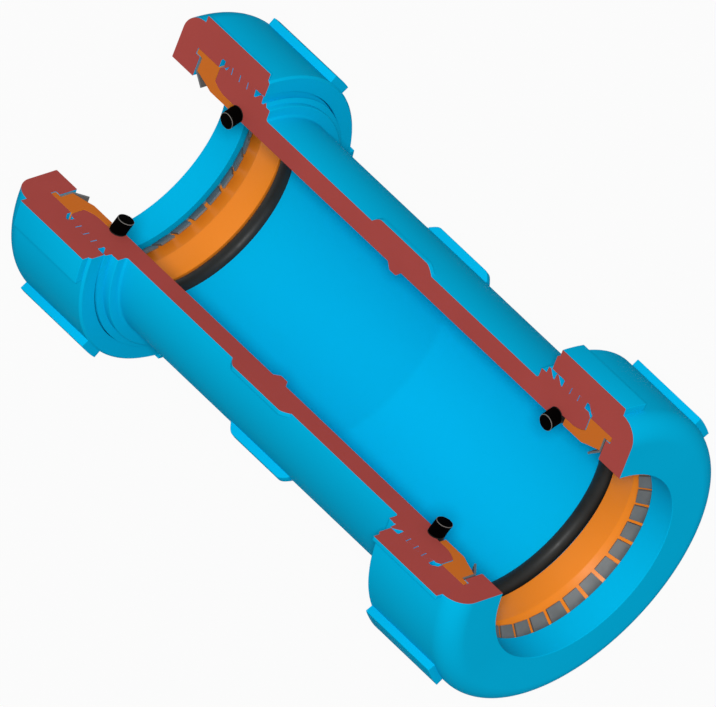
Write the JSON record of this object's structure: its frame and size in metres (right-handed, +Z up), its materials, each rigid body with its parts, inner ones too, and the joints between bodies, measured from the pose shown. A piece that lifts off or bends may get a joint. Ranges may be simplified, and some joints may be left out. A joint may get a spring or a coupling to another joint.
{
  "type": "compression coupling",
  "caption": "Straight plastic pipe coupling cut open by a quarter, with a ribbed body, lugged screw nuts, compression rings, toothed grip rings and O-rings.",
  "frame": {"origin": "on the ground midway between the two nuts, under the body's middle: the lowest lugs' flats lie at z = 0 and the pipe axis is at z = 0.0499", "axes": "+X along the pipe axis towards the right nut's mouth, +Z up through the middle of the quarter that is cut away"},
  "size_m": [0.1856, 0.0998, 0.0852],
  "materials": {
    "body_plastic": "satin blue moulded plastic",
    "nut_plastic": "satin blue moulded plastic",
    "ring_plastic": "satin orange moulded plastic",
    "spring_steel": "dull grey spring sheet",
    "seal_rubber": "black moulded rubber"
  },
  "bodies": {
    "coupling_body": {"coupling_body": "body_plastic", "left_o_ring": "seal_rubber", "right_o_ring": "seal_rubber"},
    "right_ring_set": {"right_compression_ring": "ring_plastic", "right_grip_ring": "spring_steel"},
    "left_ring_set": {"left_compression_ring": "ring_plastic", "left_grip_ring": "spring_steel"},
    "right_nut": {"right_nut": "nut_plastic"},
    "left_nut": {"left_nut": "nut_plastic"}
  },
  "joints": [
    {"name": "right_ring_slide", "type": "slide", "parent": "coupling_body", "child": "right_ring_set", "axis": [1, 0, 0], "range_m": [0, 0.0096]},
    {"name": "right_nut_turn", "type": "hinge", "parent": "right_ring_set", "child": "right_nut", "pos_m": [0.0763, 0, 0.0499], "axis": [1, 0, 0], "range_deg": [0, 1080]},
    {"name": "left_ring_slide", "type": "slide", "parent": "coupling_body", "child": "left_ring_set", "axis": [-1, 0, 0], "range_m": [0, 0.0096]},
    {"name": "left_nut_turn", "type": "hinge", "parent": "left_ring_set", "child": "left_nut", "pos_m": [-0.0763, 0, 0.0499], "axis": [-1, 0, 0], "range_deg": [0, 1080]}
  ],
  "couplings": [
    {"joint": "right_ring_slide", "follows": "right_nut_turn", "m_per_rad": 0.00050532},
    {"joint": "left_ring_slide", "follows": "left_nut_turn", "m_per_rad": 0.00050532}
  ]
}
